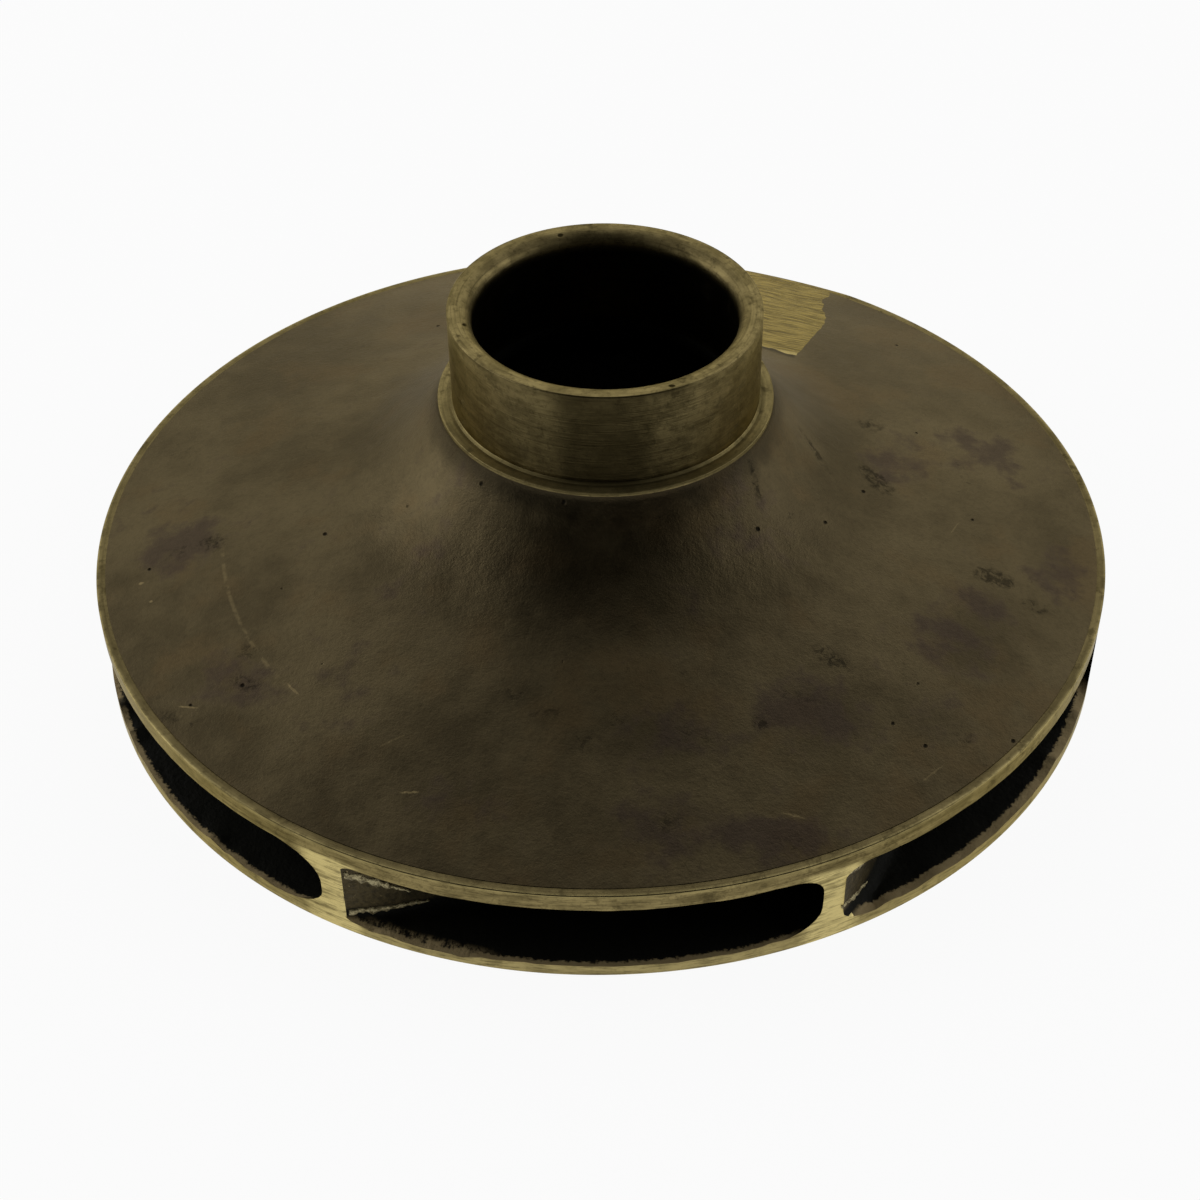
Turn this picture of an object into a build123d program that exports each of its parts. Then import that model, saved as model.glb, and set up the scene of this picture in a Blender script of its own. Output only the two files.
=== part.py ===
from build123d import *
import math
import os

# Closed centrifugal pump impeller, cast in one piece in bronze and finish-turned.
# Z is the shaft axis, the suction eye opens towards +Z, and the faced back lies on Z = 0.
# All sizes are in millimetres and degrees.

# Rim and shrouds
outer_diameter = 178.0
rim_height = 18.4              # faced back to the top edge of the turned rim
rim_land_width = 1.5           # narrow land turned on the front of the rim
rim_land_step = 0.25           # the as-cast front stands this much above that land
front_wall_at_rim = 3.2        # thickness of the front shroud at the rim
back_wall = 2.4                # thickness of the back shroud
front_cone_angle = 15.0        # rise of the front shroud towards the eye
flare_outer_radius = 50.0      # where the front cone turns up into the flare
rim_edge_chamfer = 0.3

# Suction eye, its wear ring and the shoulder at the ring's foot
overall_height = 63.8
wear_ring_diameter = 52.4
eye_bore_diameter = 44.4
eye_edge_radius = 2.6          # rounding at the mouth of the eye
wear_ring_edge = 0.35          # chamfer on the ring's outer edge
shoulder_diameter = 57.2
shoulder_height = 46.7         # faced back to the shoulder
shoulder_depth = 0.7           # turned side of the shoulder, down to the casting
ring_foot_bevel = 0.4
throat_cone_angle = 42.0       # the waterway's roof under the flare
throat_cone_radius = 38.0      # where that cone meets the roof of the passages
throat_bevel = 4.0             # between the eye and that cone

# Hub, shaft bore and keyway
hub_nose_diameter = 31.0
hub_foot_diameter = 32.0
hub_height = 36.0
hub_foot_bevel = 5.0           # between the hub and the back shroud
hub_nose_bevel = 2.2
shaft_diameter = 19.05
shaft_edge_chamfer = 0.8
keyway_width = 4.8
keyway_depth = 2.4             # beyond the bore's surface

# Vanes
vane_count = 7
first_vane_angle = -67.5       # where one vane meets the rim, from +X towards +Y
vane_inlet_radius = 28.5
vane_inlet_angle = 22.0        # from the tangent, at the inlet
vane_outlet_angle = 32.0       # from the tangent, at the rim
vane_thickness = 3.6           # half way along
vane_inlet_thickness = 2.8
vane_tip_thickness = 1.7       # the vane thins out towards the rim
vane_overrun = 3.0             # degrees of the vane's arc past the rim, turned away with it

# Flat ground on the front shroud to balance the casting
balance_flat_angle = 68.5      # direction of the flat, from +X towards +Y
balance_flat_width = 40.0
balance_flat_start = 48.0      # distance of the flat's inner end from the axis
balance_cut_at_start = 1.1     # depth of the cut at its inner end
balance_cut_at_rim = 0.65      # depth of the cut at the rim

# Worked out from the sizes above
outer_radius = outer_diameter / 2
cast_rim_radius = outer_radius - rim_land_width
cast_rim_height = rim_height + rim_land_step
cone_rise = math.tan(math.radians(front_cone_angle))
throat_rise = math.tan(math.radians(throat_cone_angle))
cut_margin = 2.0               # cutting tools run this far past what they cut


def front_height(radius):
    """Height of the cast front cone at a radius."""
    return cast_rim_height + (cast_rim_radius - radius) * cone_rise


def revolved(face):
    return revolve(Plane.XZ * face, Axis.Z)


def bevelled(face, corner, size):
    """Bevel the corner of a section face that lies nearest to the given point."""
    nearest = face.vertices().sort_by_distance(Vector(*corner))[0]
    return chamfer(nearest, size)


def make_blank():
    """The turned and cast outside of the impeller, filled solid."""
    ring_radius = wear_ring_diameter / 2
    shoulder_radius = shoulder_diameter / 2
    cone_start = Vector(cast_rim_radius, cast_rim_height)
    cone_end = Vector(flare_outer_radius, front_height(flare_outer_radius))
    flare_end = Vector(shoulder_radius, shoulder_height - shoulder_depth)
    cone = Line(cone_start, cone_end)
    flare = TangentArc(cone_end, flare_end, tangent=cone_end - cone_start)
    eye_side = Polyline(
        flare_end,
        (shoulder_radius, shoulder_height),
        (ring_radius, shoulder_height),
        (ring_radius, overall_height),
        (0, overall_height),
        (0, 0),
    )
    rim_side = Polyline(
        (0, 0),
        (outer_radius, 0),
        (outer_radius, rim_height),
        (cast_rim_radius, rim_height),
        cone_start,
    )
    section = make_face([cone, flare, eye_side, rim_side])
    section = bevelled(section, (ring_radius, shoulder_height), ring_foot_bevel)
    section = bevelled(section, (ring_radius, overall_height), wear_ring_edge)
    section = bevelled(section, (outer_radius, 0), rim_edge_chamfer)
    return revolved(section)


def make_waterway():
    """The space that the water fills between the shrouds, before the vanes are taken out."""
    eye_radius = eye_bore_diameter / 2
    past_rim = outer_radius + cut_margin
    roof_at_rim = rim_height - front_wall_at_rim
    roof_past_rim = roof_at_rim - cut_margin * cone_rise
    roof_at_throat = roof_at_rim + (outer_radius - throat_cone_radius) * cone_rise
    roof_at_eye = roof_at_throat + (throat_cone_radius - eye_radius) * throat_rise
    hub_foot = hub_foot_diameter / 2
    hub_nose = hub_nose_diameter / 2
    mouth_radius = eye_radius + eye_edge_radius
    mouth_low = (eye_radius, overall_height - eye_edge_radius)
    mouth_high = (mouth_radius, overall_height)
    mouth = RadiusArc(mouth_low, mouth_high, eye_edge_radius)
    outline = Polyline(
        mouth_high,
        (mouth_radius, overall_height + cut_margin),
        (0, overall_height + cut_margin),
        (0, hub_height),
        (hub_nose, hub_height),
        (hub_foot, back_wall),
        (past_rim, back_wall),
        (past_rim, roof_past_rim),
        (throat_cone_radius, roof_at_throat),
        (eye_radius, roof_at_eye),
        mouth_low,
    )
    section = make_face([mouth, outline])
    section = bevelled(section, (eye_radius, roof_at_eye), throat_bevel)
    section = bevelled(section, (hub_foot, back_wall), hub_foot_bevel)
    section = bevelled(section, (hub_nose, hub_height), hub_nose_bevel)
    return revolved(section)


def make_vane():
    """One backward-curved vane as a tall prism: a single arc that meets the rim on +X."""
    inlet = math.radians(vane_inlet_angle)
    outlet = math.radians(vane_outlet_angle)
    arc_radius = (outer_radius**2 - vane_inlet_radius**2) / (
        2 * (outer_radius * math.cos(outlet) - vane_inlet_radius * math.cos(inlet))
    )
    centre = Vector(
        outer_radius - arc_radius * math.cos(outlet), -arc_radius * math.sin(outlet)
    )
    toward_centre = math.atan2(centre.Y, centre.X)
    inlet_cosine = (vane_inlet_radius**2 - centre.length**2 - arc_radius**2) / (
        2 * arc_radius * centre.length
    )
    tip_turn = vane_outlet_angle - vane_overrun
    inlet_turn = math.degrees(toward_centre + math.acos(inlet_cosine))

    def on_arc(turn, offset):
        reach = arc_radius + offset
        angle = math.radians(turn)
        return centre + Vector(reach * math.cos(angle), reach * math.sin(angle))

    stations = [
        (tip_turn, vane_tip_thickness / 2),
        ((tip_turn + inlet_turn) / 2, vane_thickness / 2),
        (inlet_turn, vane_inlet_thickness / 2),
    ]
    outside = [on_arc(turn, half) for turn, half in stations]
    inside = [on_arc(turn, -half) for turn, half in stations]
    edge = on_arc(inlet_turn + math.degrees(stations[2][1] / arc_radius), 0)
    section = make_face(
        [
            ThreePointArc(*outside),
            ThreePointArc(outside[2], edge, inside[2]),
            ThreePointArc(*inside),
            Line(inside[0], outside[0]),
        ]
    )
    return extrude(section, overall_height)


def make_passages():
    """The waterway with the vanes taken out of it."""
    vane = make_vane()
    pitch = 360 / vane_count
    turned = [Rot(0, 0, first_vane_angle + pitch * i) * vane for i in range(vane_count)]
    return make_waterway() - turned


def make_shaft_hole():
    """Bore, keyway and the chamfers at both ends of the bore."""
    bore_radius = shaft_diameter / 2
    bore = Cylinder(bore_radius, hub_height * 2, align=(Align.CENTER, Align.CENTER, Align.MIN))
    bore = Pos(0, 0, -hub_height / 2) * bore
    key_reach = bore_radius + keyway_depth
    key = Box(key_reach, keyway_width, hub_height * 2, align=(Align.MIN, Align.CENTER, Align.CENTER))
    wide = bore_radius + shaft_edge_chamfer
    low = Cone(wide, bore_radius, shaft_edge_chamfer, align=(Align.CENTER, Align.CENTER, Align.MIN))
    high = Cone(bore_radius, wide, shaft_edge_chamfer, align=(Align.CENTER, Align.CENTER, Align.MAX))
    return bore + key + low + Pos(0, 0, hub_height) * high


def make_balance_cut():
    """A block whose underside is the flat ground into the front shroud."""
    reach = outer_radius + cut_margin
    start_height = front_height(balance_flat_start) - balance_cut_at_start
    rim_flat_height = rim_height - balance_cut_at_rim
    fall = (start_height - rim_flat_height) / (outer_radius - balance_flat_start)
    end_height = rim_flat_height - cut_margin * fall
    section = make_face(
        Polyline(
            (balance_flat_start, start_height),
            (reach, end_height),
            (reach, overall_height),
            (balance_flat_start, overall_height),
            close=True,
        )
    )
    block = extrude(Plane.XZ * section, balance_flat_width / 2, both=True)
    return Rot(0, 0, balance_flat_angle) * block


impeller = make_blank() - make_passages() - make_shaft_hole() - make_balance_cut()
impeller.label = "impeller"

os.makedirs("parts", exist_ok=True)
export_step(impeller, "parts/impeller.step")
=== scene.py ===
import bpy
import math
import numpy as np
from mathutils import Matrix, Vector, noise


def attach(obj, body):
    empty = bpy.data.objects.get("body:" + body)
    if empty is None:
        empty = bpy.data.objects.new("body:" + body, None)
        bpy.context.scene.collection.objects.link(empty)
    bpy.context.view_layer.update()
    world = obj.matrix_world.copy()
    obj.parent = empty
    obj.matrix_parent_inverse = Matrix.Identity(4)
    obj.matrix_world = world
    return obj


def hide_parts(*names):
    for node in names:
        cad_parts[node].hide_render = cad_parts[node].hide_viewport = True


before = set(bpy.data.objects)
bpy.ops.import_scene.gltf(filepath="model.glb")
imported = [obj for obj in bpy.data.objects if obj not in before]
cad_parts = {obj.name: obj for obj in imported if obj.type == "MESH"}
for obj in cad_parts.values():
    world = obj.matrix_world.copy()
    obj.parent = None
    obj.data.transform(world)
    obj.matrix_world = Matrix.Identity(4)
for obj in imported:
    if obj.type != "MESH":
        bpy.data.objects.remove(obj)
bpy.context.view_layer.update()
scene = bpy.context.scene
mm = 0.001

# the casting, in millimetres and degrees, with the shaft axis on Z and the faced back on Z = 0
form = dict(
    outerRadius=89.0, rimHeight=18.4, landWidth=1.5, landStep=0.09, rimBevel=0.3,
    frontWall=3.2, backWall=2.4, coneAngle=15.0, flareRadius=50.0,
    height=63.8, ringRadius=26.2, ringBevel=0.18, eyeRadius=22.2, eyeRound=2.6,
    shoulderRadius=28.6, shoulderHeight=46.7, shoulderDepth=0.7, footBevel=0.4,
    throatAngle=42.0, throatRadius=38.0, throatBend=9.0, roofBend=14.0, bendSteps=8,
    noseRadius=15.5, noseBend=3.0, noseSteps=6, hubRadius=16.0, hubHeight=36.0, hubBend=9.0,
    boreRadius=9.525, boreBevel=0.8, keyHalf=2.4, keyReach=11.925,
    landEdge=0.12, castEdge=0.05, shoulderEdge=0.1,
    cutPast=2.0, coreGap=1.5,  # the waterway's cutter runs past the outside, and this far inside the bore
    outsideSegments=448, insideSegments=336,
    steps=dict(  # how far apart the points of a section are, and for the flare how many
        cast=1.35, flare=26, back=16, rim=1.4, wall=3, top=4, bore=20, hub=4, inside=2.4, lip=0.6, eye=6,
    ),
    castFade=1.5, castWaves=[(0.14, 14, 1), (0.07, 4.2, 2), (0.03, 1.9, 3)],  # height, size and seed
    insideWaves=[(0.12, 9, 4), (0.06, 3.1, 5)],
)
coneRise = math.tan(math.radians(form["coneAngle"]))
castRadius = form["outerRadius"] - form["landWidth"]
castHeight = form["rimHeight"] + form["landStep"]
roofAtRim = form["rimHeight"] - form["frontWall"]


def coneHeight(radius):
    return castHeight + (castRadius - radius) * coneRise


def run(points, step):  # points along a broken line, no further apart than the step
    out = [points[0]]
    for (r0, z0), (r1, z1) in zip(points, points[1:]):
        count = max(1, math.ceil(math.hypot(r1 - r0, z1 - z0) / step))
        out += [(r0 + (r1 - r0) * i / count, z0 + (z1 - z0) * i / count) for i in range(1, count + 1)]
    return out


def bend(before, corner, after, radius, steps):  # an arc in place of a corner
    corner = np.array(corner)
    back = np.array(before) - corner
    ahead = np.array(after) - corner
    back = back / np.linalg.norm(back)
    ahead = ahead / np.linalg.norm(ahead)
    half = math.acos(back @ ahead) / 2
    middle = (back + ahead) / np.linalg.norm(back + ahead)
    centre = corner + middle * radius / math.sin(half)
    start = corner + back * radius / math.tan(half) - centre
    across = corner + ahead * radius / math.tan(half) - centre
    across = across - start * (start @ across) / (start @ start)
    across = across * radius / np.linalg.norm(across)
    sweep = math.pi - 2 * half
    turns = [sweep * i / steps for i in range(steps + 1)]
    return [tuple(centre + start * math.cos(a) + across * math.sin(a)) for a in turns]


def tangentArc(start, direction, end, steps):  # leaves the start along the direction
    start = np.array(start)
    along = np.array(direction) / np.linalg.norm(direction)
    chord = np.array(end) - start
    side = chord - along * (chord @ along)
    side = side / np.linalg.norm(side)
    radius = (chord @ chord) / (2 * (chord @ side))
    sweep = 2 * math.atan2(chord @ side, chord @ along)
    turns = [sweep * i / steps for i in range(steps + 1)]
    return [tuple(start + side * radius * (1 - math.cos(a)) + along * radius * math.sin(a)) for a in turns]


def ripple(points, size, seed):  # smooth noise over points in millimetres, about -1 to 1
    shift = Vector((seed * 17.3, seed * 5.1, seed * 9.7))
    return np.array([noise.noise(Vector(p) / size + shift) for p in points])


def waves(points, layers):  # each layer is a height, a size and a seed
    return sum(height * ripple(points, size, seed) for height, size, seed in layers)


def meshObject(name, verts, faces):
    mesh = bpy.data.meshes.new(name)
    mesh.from_pydata((np.array(verts) * mm).tolist(), [], faces)
    mesh.update()
    made = bpy.data.objects.new(name, mesh)
    scene.collection.objects.link(made)
    return made


def spin(name, pieces, segments, lift=None):  # turns a closed section; pieces are (points, cast weight)
    section = []
    weight = []
    for points, cast in pieces:
        for point in points:
            if not section or math.dist(section[-1], point) > 0.001:
                section.append(point)
                weight.append(cast)
    section = np.array(section)
    weight = np.array(weight)
    rows = len(section)
    along = np.roll(section, -1, 0) - np.roll(section, 1, 0)
    along = along / np.linalg.norm(along, axis=1)[:, None]
    normal = np.stack((along[:, 1], -along[:, 0]), 1)
    turns = np.arange(segments) * 2 * math.pi / segments
    unit = np.stack((np.cos(turns), np.sin(turns)), 1)
    radius = np.repeat(section[:, 0][:, None], segments, 1)
    height = np.repeat(section[:, 1][:, None], segments, 1)
    if lift:
        points = np.stack((radius * unit[:, 0], radius * unit[:, 1], height), 2)
        for row in np.nonzero(weight)[0]:
            raised = lift(points[row], section[row]) * weight[row]
            radius[row] += normal[row, 0] * raised
            height[row] += normal[row, 1] * raised
    verts = np.stack((radius * unit[:, 0], radius * unit[:, 1], height), 2).reshape(-1, 3)
    faces = []
    for i in range(rows):
        k = (i + 1) % rows
        for j in range(segments):
            n = (j + 1) % segments
            faces.append((i * segments + j, i * segments + n, k * segments + n, k * segments + j))
    return meshObject(name, verts, faces)


# outside of the casting, from the back edge of the bore round to the mouth of the eye
def makeBlank():
    f = form
    steps = f["steps"]
    outer = f["outerRadius"]
    ring = f["ringRadius"]
    bore = f["boreRadius"]
    coneStart = (castRadius, castHeight)
    coneEnd = (f["flareRadius"], coneHeight(f["flareRadius"]))
    flareEnd = (f["shoulderRadius"], f["shoulderHeight"] - f["shoulderDepth"])
    down = (coneEnd[0] - coneStart[0], coneEnd[1] - coneStart[1])
    cone = run([coneStart, coneEnd], steps["cast"])
    flare = tangentArc(coneEnd, down, flareEnd, steps["flare"])
    back = run([(bore + f["boreBevel"], 0), (outer - f["rimBevel"], 0)], steps["back"])
    rim = run([(outer, f["rimBevel"]), (outer, f["rimHeight"] - f["landEdge"])], steps["rim"])
    land = [(outer - f["landEdge"], f["rimHeight"]), (castRadius, f["rimHeight"])]
    land.append((castRadius, castHeight - f["castEdge"]))
    shoulder = [
        (f["shoulderRadius"], f["shoulderHeight"] - f["shoulderEdge"]),
        (f["shoulderRadius"] - f["shoulderEdge"], f["shoulderHeight"]),
        (ring + f["footBevel"], f["shoulderHeight"]),
    ]
    wall = [(ring, f["shoulderHeight"] + f["footBevel"]), (ring, f["height"] - f["ringBevel"])]
    wall = run(wall, steps["wall"])
    top = run([(ring - f["ringBevel"], f["height"]), (bore, f["height"])], steps["top"])
    hole = run([(bore, f["height"]), (bore, f["boreBevel"])], steps["bore"])

    def lift(points, section):  # the as-cast skin fades out at the turned faces
        fade = np.clip(min(castRadius - section[0], section[0] - f["shoulderRadius"]) / f["castFade"], 0, 1)
        return fade * waves(points, f["castWaves"])

    pieces = [(back, 0), (rim, 0), (land, 0), (cone, 1), (flare, 1)]
    pieces += [(shoulder, 0), (wall, 0), (top, 0), (hole, 0)]
    return spin("blank", pieces, f["outsideSegments"], lift)


lips = dict(
    floorReach=4, roofReach=3, roughReach=5.0, roughFade=4.0, below=4.0,
    roughFloor=0.28, floorWaves=[(1.0, 2.6, 6), (0.6, 1.1, 7)],
    roughRoof=0.10, roofWaves=[(1.0, 2.2, 8)],
    bevel=dict(start=-26.0, end=-13.0, fade=1.5, depth=0.9, reach=1.8),  # worn away lip of one opening
    notches=[  # angle from -Y towards +X, half width in degrees, height in millimetres
        (-70.0, 2.2, 1.1), (-65.5, 1.4, 0.8), (-46.0, 1.6, 0.7), (-42.5, 1.0, 0.5),
        (24.5, 1.6, 0.7), (30.0, 2.0, 0.5), (36.0, 3.0, 0.5), (58.0, 1.8, 0.6), (66.0, 2.2, 0.6),
        (-23.0, 2.5, 0.6), (-17.5, 3.0, 0.3), (16.5, 2.2, 0.5),
    ],
)


# roof of the waterway, from past the rim to the eye, as (radius, height)
def roofLine():
    f = form
    past = f["outerRadius"] + f["cutPast"]
    throatRise = math.tan(math.radians(f["throatAngle"]))
    atThroat = roofAtRim + (f["outerRadius"] - f["throatRadius"]) * coneRise
    atEye = atThroat + (f["throatRadius"] - f["eyeRadius"]) * throatRise
    outside = (past, roofAtRim - f["cutPast"] * coneRise)
    lipEnd = (f["outerRadius"] - lips["roofReach"], roofAtRim + lips["roofReach"] * coneRise)
    throat = (f["throatRadius"], atThroat)
    eye = (f["eyeRadius"], atEye)
    corner = bend(outside, throat, eye, f["roofBend"], f["bendSteps"])
    line = run([outside, lipEnd], f["steps"]["lip"])
    line += run([line[-1], corner[0]], f["steps"]["inside"])
    line += corner
    line += bend(throat, eye, (f["eyeRadius"], f["height"]), f["throatBend"], f["bendSteps"])
    return line


def makeWaterway():
    f = form
    steps = f["steps"]
    outer = f["outerRadius"]
    inside = f["boreRadius"] - f["coreGap"]
    hubTop = (f["noseRadius"], f["hubHeight"])
    hubFoot = (f["hubRadius"], f["backWall"])
    boreTop = (f["boreRadius"] + f["boreBevel"], f["hubHeight"])
    hub = [(inside, f["hubHeight"] - f["boreBevel"] - f["coreGap"]), boreTop]
    nose = bend(boreTop, hubTop, hubFoot, f["noseBend"], f["noseSteps"])
    foot = bend(hubTop, hubFoot, (outer, f["backWall"]), f["hubBend"], f["bendSteps"])
    side = run([nose[-1], foot[0]], steps["hub"])
    floor = run([foot[-1], (outer - lips["floorReach"], f["backWall"])], steps["inside"])
    floor += run([floor[-1], (outer + f["cutPast"], f["backWall"])], steps["lip"])
    roof = roofLine()
    mouthStart = (f["eyeRadius"], f["height"] - f["eyeRound"])
    eyeWall = run([roof[-1], mouthStart], steps["eye"])
    turns = [math.pi / 2 * i / f["bendSteps"] for i in range(f["bendSteps"] + 1)]
    mouth = [
        (mouthStart[0] + f["eyeRound"] * (1 - math.cos(a)), mouthStart[1] + f["eyeRound"] * math.sin(a))
        for a in turns
    ]
    over = [(mouth[-1][0], f["height"] + f["cutPast"]), (inside, f["height"] + f["cutPast"])]

    def lift(points, section):
        raised = waves(points, f["insideWaves"])
        edge = np.clip((section[0] - (outer - lips["roughReach"])) / lips["roughFade"], 0, 1)
        if section[1] < lips["below"] and edge > 0:
            angle = np.degrees(np.arctan2(points[:, 0], -points[:, 1]))
            rough = lips["roughFloor"] * waves(points, lips["floorWaves"])
            for centre, half, height in lips["notches"]:
                rough -= height * np.exp(-(((angle - centre) / half) ** 2) * 2)
            b = lips["bevel"]
            worn = np.clip((angle - b["start"]) / b["fade"], 0, 1)
            worn = worn * np.clip((b["end"] - angle) / b["fade"], 0, 1)
            rough += b["depth"] * worn * np.clip((section[0] - (outer - b["reach"])) / b["reach"], 0, 1)
            raised = raised + edge * rough
        elif edge > 0:
            raised = raised + edge * lips["roughRoof"] * waves(points, lips["roofWaves"])
        return raised

    pieces = [(hub, 0), (nose, 0), (side, 1), (foot, 1), (floor, 1), (roof, 1)]
    pieces += [(eyeWall, 0), (mouth, 0), (over, 0)]
    return spin("waterway", pieces, f["insideSegments"], lift)


vanes = dict(
    count=7, firstAngle=-67.5, inletRadius=28.5, inletAngle=22.0, outletAngle=32.0,
    tipOverrun=3.0, overrun=14.0,  # degrees past the rim where the tip's thickness holds, and of the end
    halfAtTip=0.85, halfAtMiddle=1.8, halfAtInlet=1.4, halfLeast=0.7, stations=74, noseSteps=8,
    sunk=0.06, noseFillet=2.0, filletSteps=7,
    fillets=[  # for each vane: outer face, then inner face at the floor and at the roof
        (3.0, 5.4, 3.4), (2.2, 3.6, 3.2), (2.2, 3.0, 3.4), (2.4, 3.4, 3.0), (2.0, 3.2, 3.4),
        (2.2, 3.8, 3.2), (1.6, 5.2, 5.6),
    ],
    waves=[(0.12, 7, 11), (0.05, 2.4, 12)],
)


def vaneLine():  # radius and centre of a vane's arc, with its tip on +X
    v = vanes
    outer = form["outerRadius"]
    inlet = math.radians(v["inletAngle"])
    outlet = math.radians(v["outletAngle"])
    spread = outer * math.cos(outlet) - v["inletRadius"] * math.cos(inlet)
    arc = (outer**2 - v["inletRadius"]**2) / (2 * spread)
    return arc, np.array((outer - arc * math.cos(outlet), -arc * math.sin(outlet)))


def makeVanes():
    v = vanes
    outlet = math.radians(v["outletAngle"])
    arc, centre = vaneLine()
    reach = np.linalg.norm(centre)
    tipTurn = outlet - math.radians(v["tipOverrun"])
    inletTurn = math.atan2(centre[1], centre[0])
    inletTurn += math.acos((v["inletRadius"]**2 - reach**2 - arc**2) / (2 * arc * reach))
    startTurn = outlet - math.radians(v["overrun"])
    turns = np.linspace(startTurn, inletTurn, v["stations"])
    share = (turns - tipTurn) / (inletTurn - tipTurn)
    halves = (v["halfAtTip"], v["halfAtMiddle"], v["halfAtInlet"])
    half = np.maximum(np.polyval(np.polyfit((0, 0.5, 1), halves, 2), share), v["halfLeast"])
    radial = np.stack((np.cos(turns), np.sin(turns)), 1)
    middle = centre + arc * radial
    noseTurns = np.linspace(0, math.pi, v["noseSteps"] + 1)[1:-1]
    forward = np.array((-radial[-1, 1], radial[-1, 0]))
    noseOut = np.cos(noseTurns)[:, None] * radial[-1] + np.sin(noseTurns)[:, None] * forward
    plan = np.concatenate((middle + half[:, None] * radial, middle[-1] + half[-1] * noseOut,
                           (middle - half[:, None] * radial)[::-1]))
    outward = np.concatenate((radial, noseOut, -radial[::-1]))
    roof = np.array(sorted(set(roofLine())))
    floorHeight = form["backWall"]
    profile = [(-1.0, 1.3), (-0.1, 1.3)]  # up and out along the fillet, as shares of its radius
    for i in range(v["filletSteps"] + 1):
        turn = math.pi / 2 * i / v["filletSteps"]
        profile.append((1 - math.cos(turn), 1 - math.sin(turn)))
    levels = [("floor", up, out) for up, out in profile]
    levels += [("between", 0.25, 0), ("between", 0.5, 0), ("between", 0.75, 0)]
    levels += [("roof", up, out) for up, out in reversed(profile)]
    count = len(plan)
    verts = []
    faces = []
    for k in range(v["count"]):
        outside, low, high = v["fillets"][k]
        lengths = (len(turns), len(noseTurns), len(turns))
        atFloor = np.repeat((outside, v["noseFillet"], low), lengths)
        atRoof = np.repeat((outside, v["noseFillet"], high), lengths)
        rows = []
        for kind, up, out in levels:
            fillet = atFloor if kind == "floor" else atRoof
            spot = plan + outward * (fillet * out)[:, None]
            roofHeight = np.interp(np.hypot(spot[:, 0], spot[:, 1]), roof[:, 0], roof[:, 1])
            if kind == "floor":
                height = floorHeight - v["sunk"] + fillet * up
            elif kind == "roof":
                height = roofHeight + v["sunk"] - fillet * up
            else:
                bottom = floorHeight + atFloor
                height = bottom + (roofHeight - atRoof - bottom) * up
            rows.append(np.column_stack((spot, height)))
        turn = math.radians(v["firstAngle"] + 360 / v["count"] * k)
        spinMatrix = np.array(((math.cos(turn), -math.sin(turn)), (math.sin(turn), math.cos(turn))))
        base = len(verts)
        for row in rows:
            flat = row[:, :2] @ spinMatrix.T
            away = outward @ spinMatrix.T
            points = np.column_stack((flat, row[:, 2]))
            points[:, :2] += away * waves(points, v["waves"])[:, None]
            verts += points.tolist()
        for i in range(len(rows) - 1):
            for j in range(count):
                n = (j + 1) % count
                faces.append((base + i * count + j, base + i * count + n,
                              base + (i + 1) * count + n, base + (i + 1) * count + j))
        last = base + (len(rows) - 1) * count
        for j in range(len(turns) - 1):  # lids, as strips between the two sides
            m = count - 1 - j
            faces.append((base + j + 1, base + j, base + m, base + m - 1))
            faces.append((last + j, last + j + 1, last + m - 1, last + m))
        noseLoop = list(range(len(turns) - 1, count - len(turns) + 1))
        faces.append(tuple(base + j for j in reversed(noseLoop)))
        faces.append(tuple(last + j for j in noseLoop))
    return meshObject("vaneBlades", verts, faces)


ridges = dict(
    height=0.35, sunk=0.4, step=0.35, half=0.95, lean=0.035,
    crumbSize=0.9, crumbWidth=0.9, crumbHeight=0.6, plainHeight=0.7, wander=0.4, wanderSize=1.1,
    section=[(-0.5, -1), (-0.42, 0.45), (-0.12, 1.0), (0.22, 0.85), (0.45, 0.3), (0.5, -1)],  # across, out
    lines=[  # vane number, then (distance in from the rim, height, width) along the ridge
        (6, [(2.4, 12.9, 1.3), (3.6, 12.2, 2.4), (5.2, 11.5, 1.8), (8.0, 9.9, 1.4), (10.0, 8.6, 1.0),
             (12.0, 7.4, 0.4)]),
        (6, [(2.4, 4.2, 0.8), (4.5, 4.3, 1.5), (8.0, 4.3, 1.1), (11.5, 4.5, 0.9), (15.0, 4.7, 0.3)]),
        (6, [(9.2, 10.9, 0.3), (10.6, 10.2, 1.0), (12.4, 9.6, 0.3)]),
        (6, [(1.8, 7.0, 0.3), (2.1, 9.0, 0.6), (2.4, 11.0, 0.5)]),
        (0, [(1.4, 6.4, 0.6), (3.5, 5.8, 1.1), (7.0, 4.9, 0.8), (11.0, 4.0, 0.3)]),
        (0, [(2.4, 13.4, 0.8), (4.2, 12.6, 1.7), (6.0, 11.6, 1.0), (8.0, 10.6, 0.3)]),
    ],
)


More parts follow.
